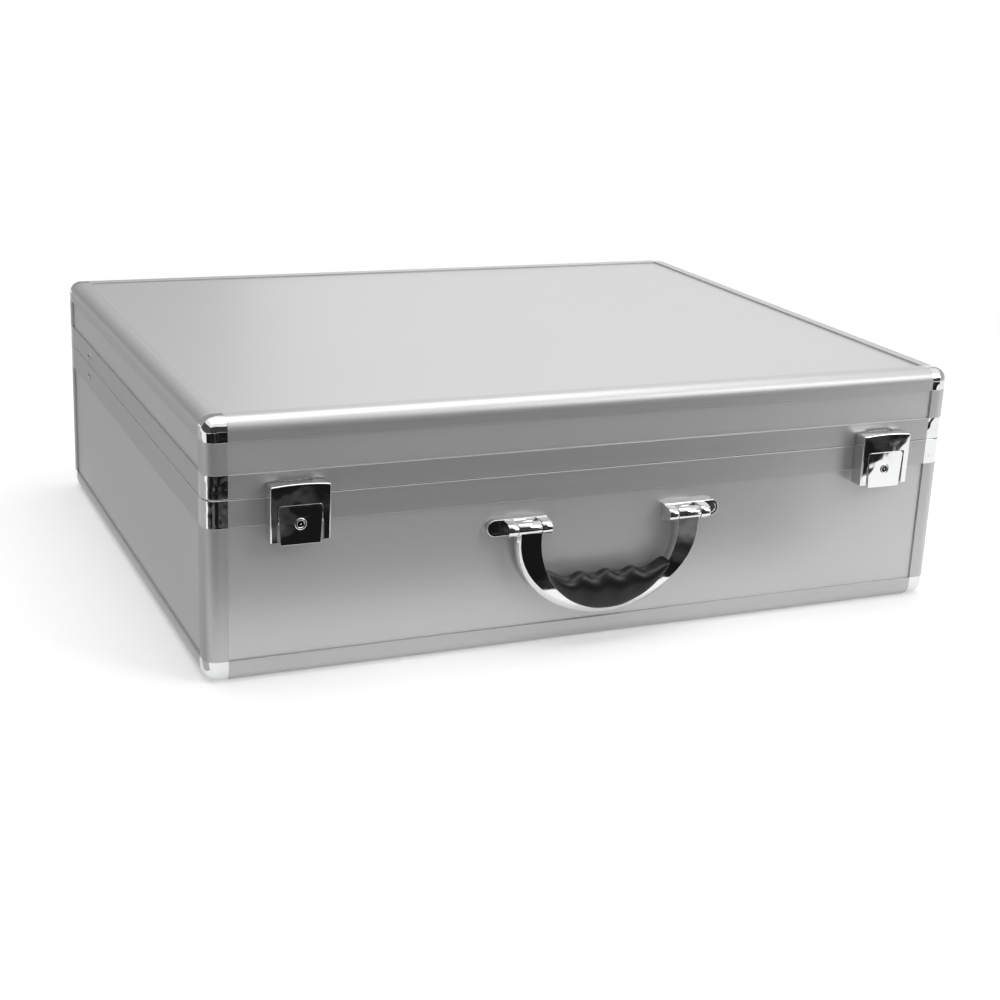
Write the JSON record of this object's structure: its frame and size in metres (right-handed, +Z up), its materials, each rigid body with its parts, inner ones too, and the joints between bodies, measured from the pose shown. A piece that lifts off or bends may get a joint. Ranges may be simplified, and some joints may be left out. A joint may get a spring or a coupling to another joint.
{
  "type": "aluminium tool case",
  "caption": "Silver tool case with an aluminium frame, chrome corners, a hinged lid on stays, draw latches with key barrels and a swinging handle.",
  "frame": {"origin": "bottom centre of the whole closed case, on the surface it lies on", "axes": "+X to the right seen from the front, -Y out of the front with the latches and handle, +Z up"},
  "size_m": [0.5024, 0.421, 0.158],
  "materials": {
    "panel": "silver laminate with a fine sheen",
    "profile": "satin anodised extrusion",
    "rim": "satin anodised extrusion",
    "corner": "polished chrome plating",
    "chrome": "polished chrome plating",
    "steel": "plated steel",
    "rivet": "plain rivet heads",
    "grip": "black, half gloss",
    "lining": "black foam-backed cloth"
  },
  "bodies": {
    "base": {"base_back_panel": "panel", "base_corner_posts": "profile", "base_front_panel": "panel", "base_left_panel": "panel", "base_lining": "lining", "base_right_panel": "panel", "base_rim_back": "rim", "base_rim_corners": "corner", "base_rim_front": "rim", "base_rim_left": "rim", "base_rim_right": "rim", "base_rivets": "rivet", "bottom_panel": "panel", "bottom_profile_back": "profile", "bottom_profile_front": "profile", "bottom_profile_left": "profile", "bottom_profile_right": "profile", "handle_pins": "steel", "handle_screws": "steel", "hinge_base_leaves": "steel", "hinge_pins": "steel", "latch_pins": "steel", "left_handle_bracket": "chrome", "left_latch_back_plate": "chrome", "lower_ball_corners": "corner", "right_handle_bracket": "chrome", "right_latch_back_plate": "chrome"},
    "lid": {"hinge_lid_leaves": "steel", "left_latch_catch": "chrome", "lid_back_panel": "panel", "lid_corner_posts": "profile", "lid_front_panel": "panel", "lid_left_panel": "panel", "lid_lining": "lining", "lid_right_panel": "panel", "lid_rim_back": "rim", "lid_rim_corners": "corner", "lid_rim_front": "rim", "lid_rim_left": "rim", "lid_rim_right": "rim", "lid_rivets": "rivet", "right_latch_catch": "chrome", "top_panel": "panel", "top_profile_back": "profile", "top_profile_front": "profile", "top_profile_left": "profile", "top_profile_right": "profile", "upper_ball_corners": "corner"},
    "handle": {"handle_bail": "chrome", "handle_grip": "grip"},
    "left_claw": {"left_latch_claw": "chrome"},
    "left_key_barrel": {"left_latch_key_barrel": "chrome"},
    "left_lever": {"left_latch_lever": "chrome"},
    "left_stay_lower_arm": {"left_stay_lower_arm": "steel"},
    "left_stay_upper_arm": {"left_stay_upper_arm": "steel"},
    "right_claw": {"right_latch_claw": "chrome"},
    "right_key_barrel": {"right_latch_key_barrel": "chrome"},
    "right_lever": {"right_latch_lever": "chrome"},
    "right_stay_lower_arm": {"right_stay_lower_arm": "steel"},
    "right_stay_upper_arm": {"right_stay_upper_arm": "steel"}
  },
  "joints": [
    {"name": "lid_hinge", "type": "hinge", "parent": "base", "child": "lid", "pos_m": [0, 0.20755, 0.11115], "axis": [-1, 0, 0], "range_deg": [0, 100]},
    {"name": "left_lower_arm_pivot", "type": "hinge", "parent": "base", "child": "left_stay_lower_arm", "pos_m": [-0.24255, 0.12925, 0.103], "axis": [-1, 0, 0], "range_deg": [0, 97.92]},
    {"name": "left_upper_arm_pivot", "type": "hinge", "parent": "lid", "child": "left_stay_upper_arm", "pos_m": [-0.24075, 0.12925, 0.117], "axis": [-1, 0, 0], "range_deg": [-99.48, 0]},
    {"name": "right_lower_arm_pivot", "type": "hinge", "parent": "base", "child": "right_stay_lower_arm", "pos_m": [0.24255, 0.12925, 0.103], "axis": [-1, 0, 0], "range_deg": [0, 97.92]},
    {"name": "right_upper_arm_pivot", "type": "hinge", "parent": "lid", "child": "right_stay_upper_arm", "pos_m": [0.24075, 0.12925, 0.117], "axis": [-1, 0, 0], "range_deg": [-99.48, 0]},
    {"name": "left_lever_pivot", "type": "hinge", "parent": "base", "child": "left_lever", "pos_m": [-0.1975, -0.20075, 0.105], "axis": [-1, 0, 0], "range_deg": [0, 90]},
    {"name": "left_claw_pivot", "type": "hinge", "parent": "left_lever", "child": "left_claw", "pos_m": [-0.1975, -0.19975, 0.098], "axis": [-1, 0, 0], "range_deg": [-105.01, 0]},
    {"name": "left_key_turn", "type": "hinge", "parent": "left_lever", "child": "left_key_barrel", "pos_m": [-0.1975, -0.20375, 0.097], "axis": [0, -1, 0], "range_deg": [0, 90]},
    {"name": "right_lever_pivot", "type": "hinge", "parent": "base", "child": "right_lever", "pos_m": [0.1975, -0.20075, 0.105], "axis": [-1, 0, 0], "range_deg": [0, 90]},
    {"name": "right_claw_pivot", "type": "hinge", "parent": "right_lever", "child": "right_claw", "pos_m": [0.1975, -0.19975, 0.098], "axis": [-1, 0, 0], "range_deg": [-105.01, 0]},
    {"name": "right_key_turn", "type": "hinge", "parent": "right_lever", "child": "right_key_barrel", "pos_m": [0.1975, -0.20375, 0.097], "axis": [0, -1, 0], "range_deg": [0, 90]},
    {"name": "handle_pivot", "type": "hinge", "parent": "base", "child": "handle", "pos_m": [0, -0.20355, 0.0795], "axis": [-1, 0, 0], "range_deg": [0, 100]}
  ],
  "couplings": [
    {"joint": "left_lower_arm_pivot", "follows": "lid_hinge", "ratio": 0.97913},
    {"joint": "left_upper_arm_pivot", "follows": "lid_hinge", "ratio": -0.99478},
    {"joint": "right_lower_arm_pivot", "follows": "lid_hinge", "ratio": 0.97913},
    {"joint": "right_upper_arm_pivot", "follows": "lid_hinge", "ratio": -0.99478},
    {"joint": "left_claw_pivot", "follows": "left_lever_pivot", "ratio": -1.1667},
    {"joint": "right_claw_pivot", "follows": "right_lever_pivot", "ratio": -1.1667}
  ]
}
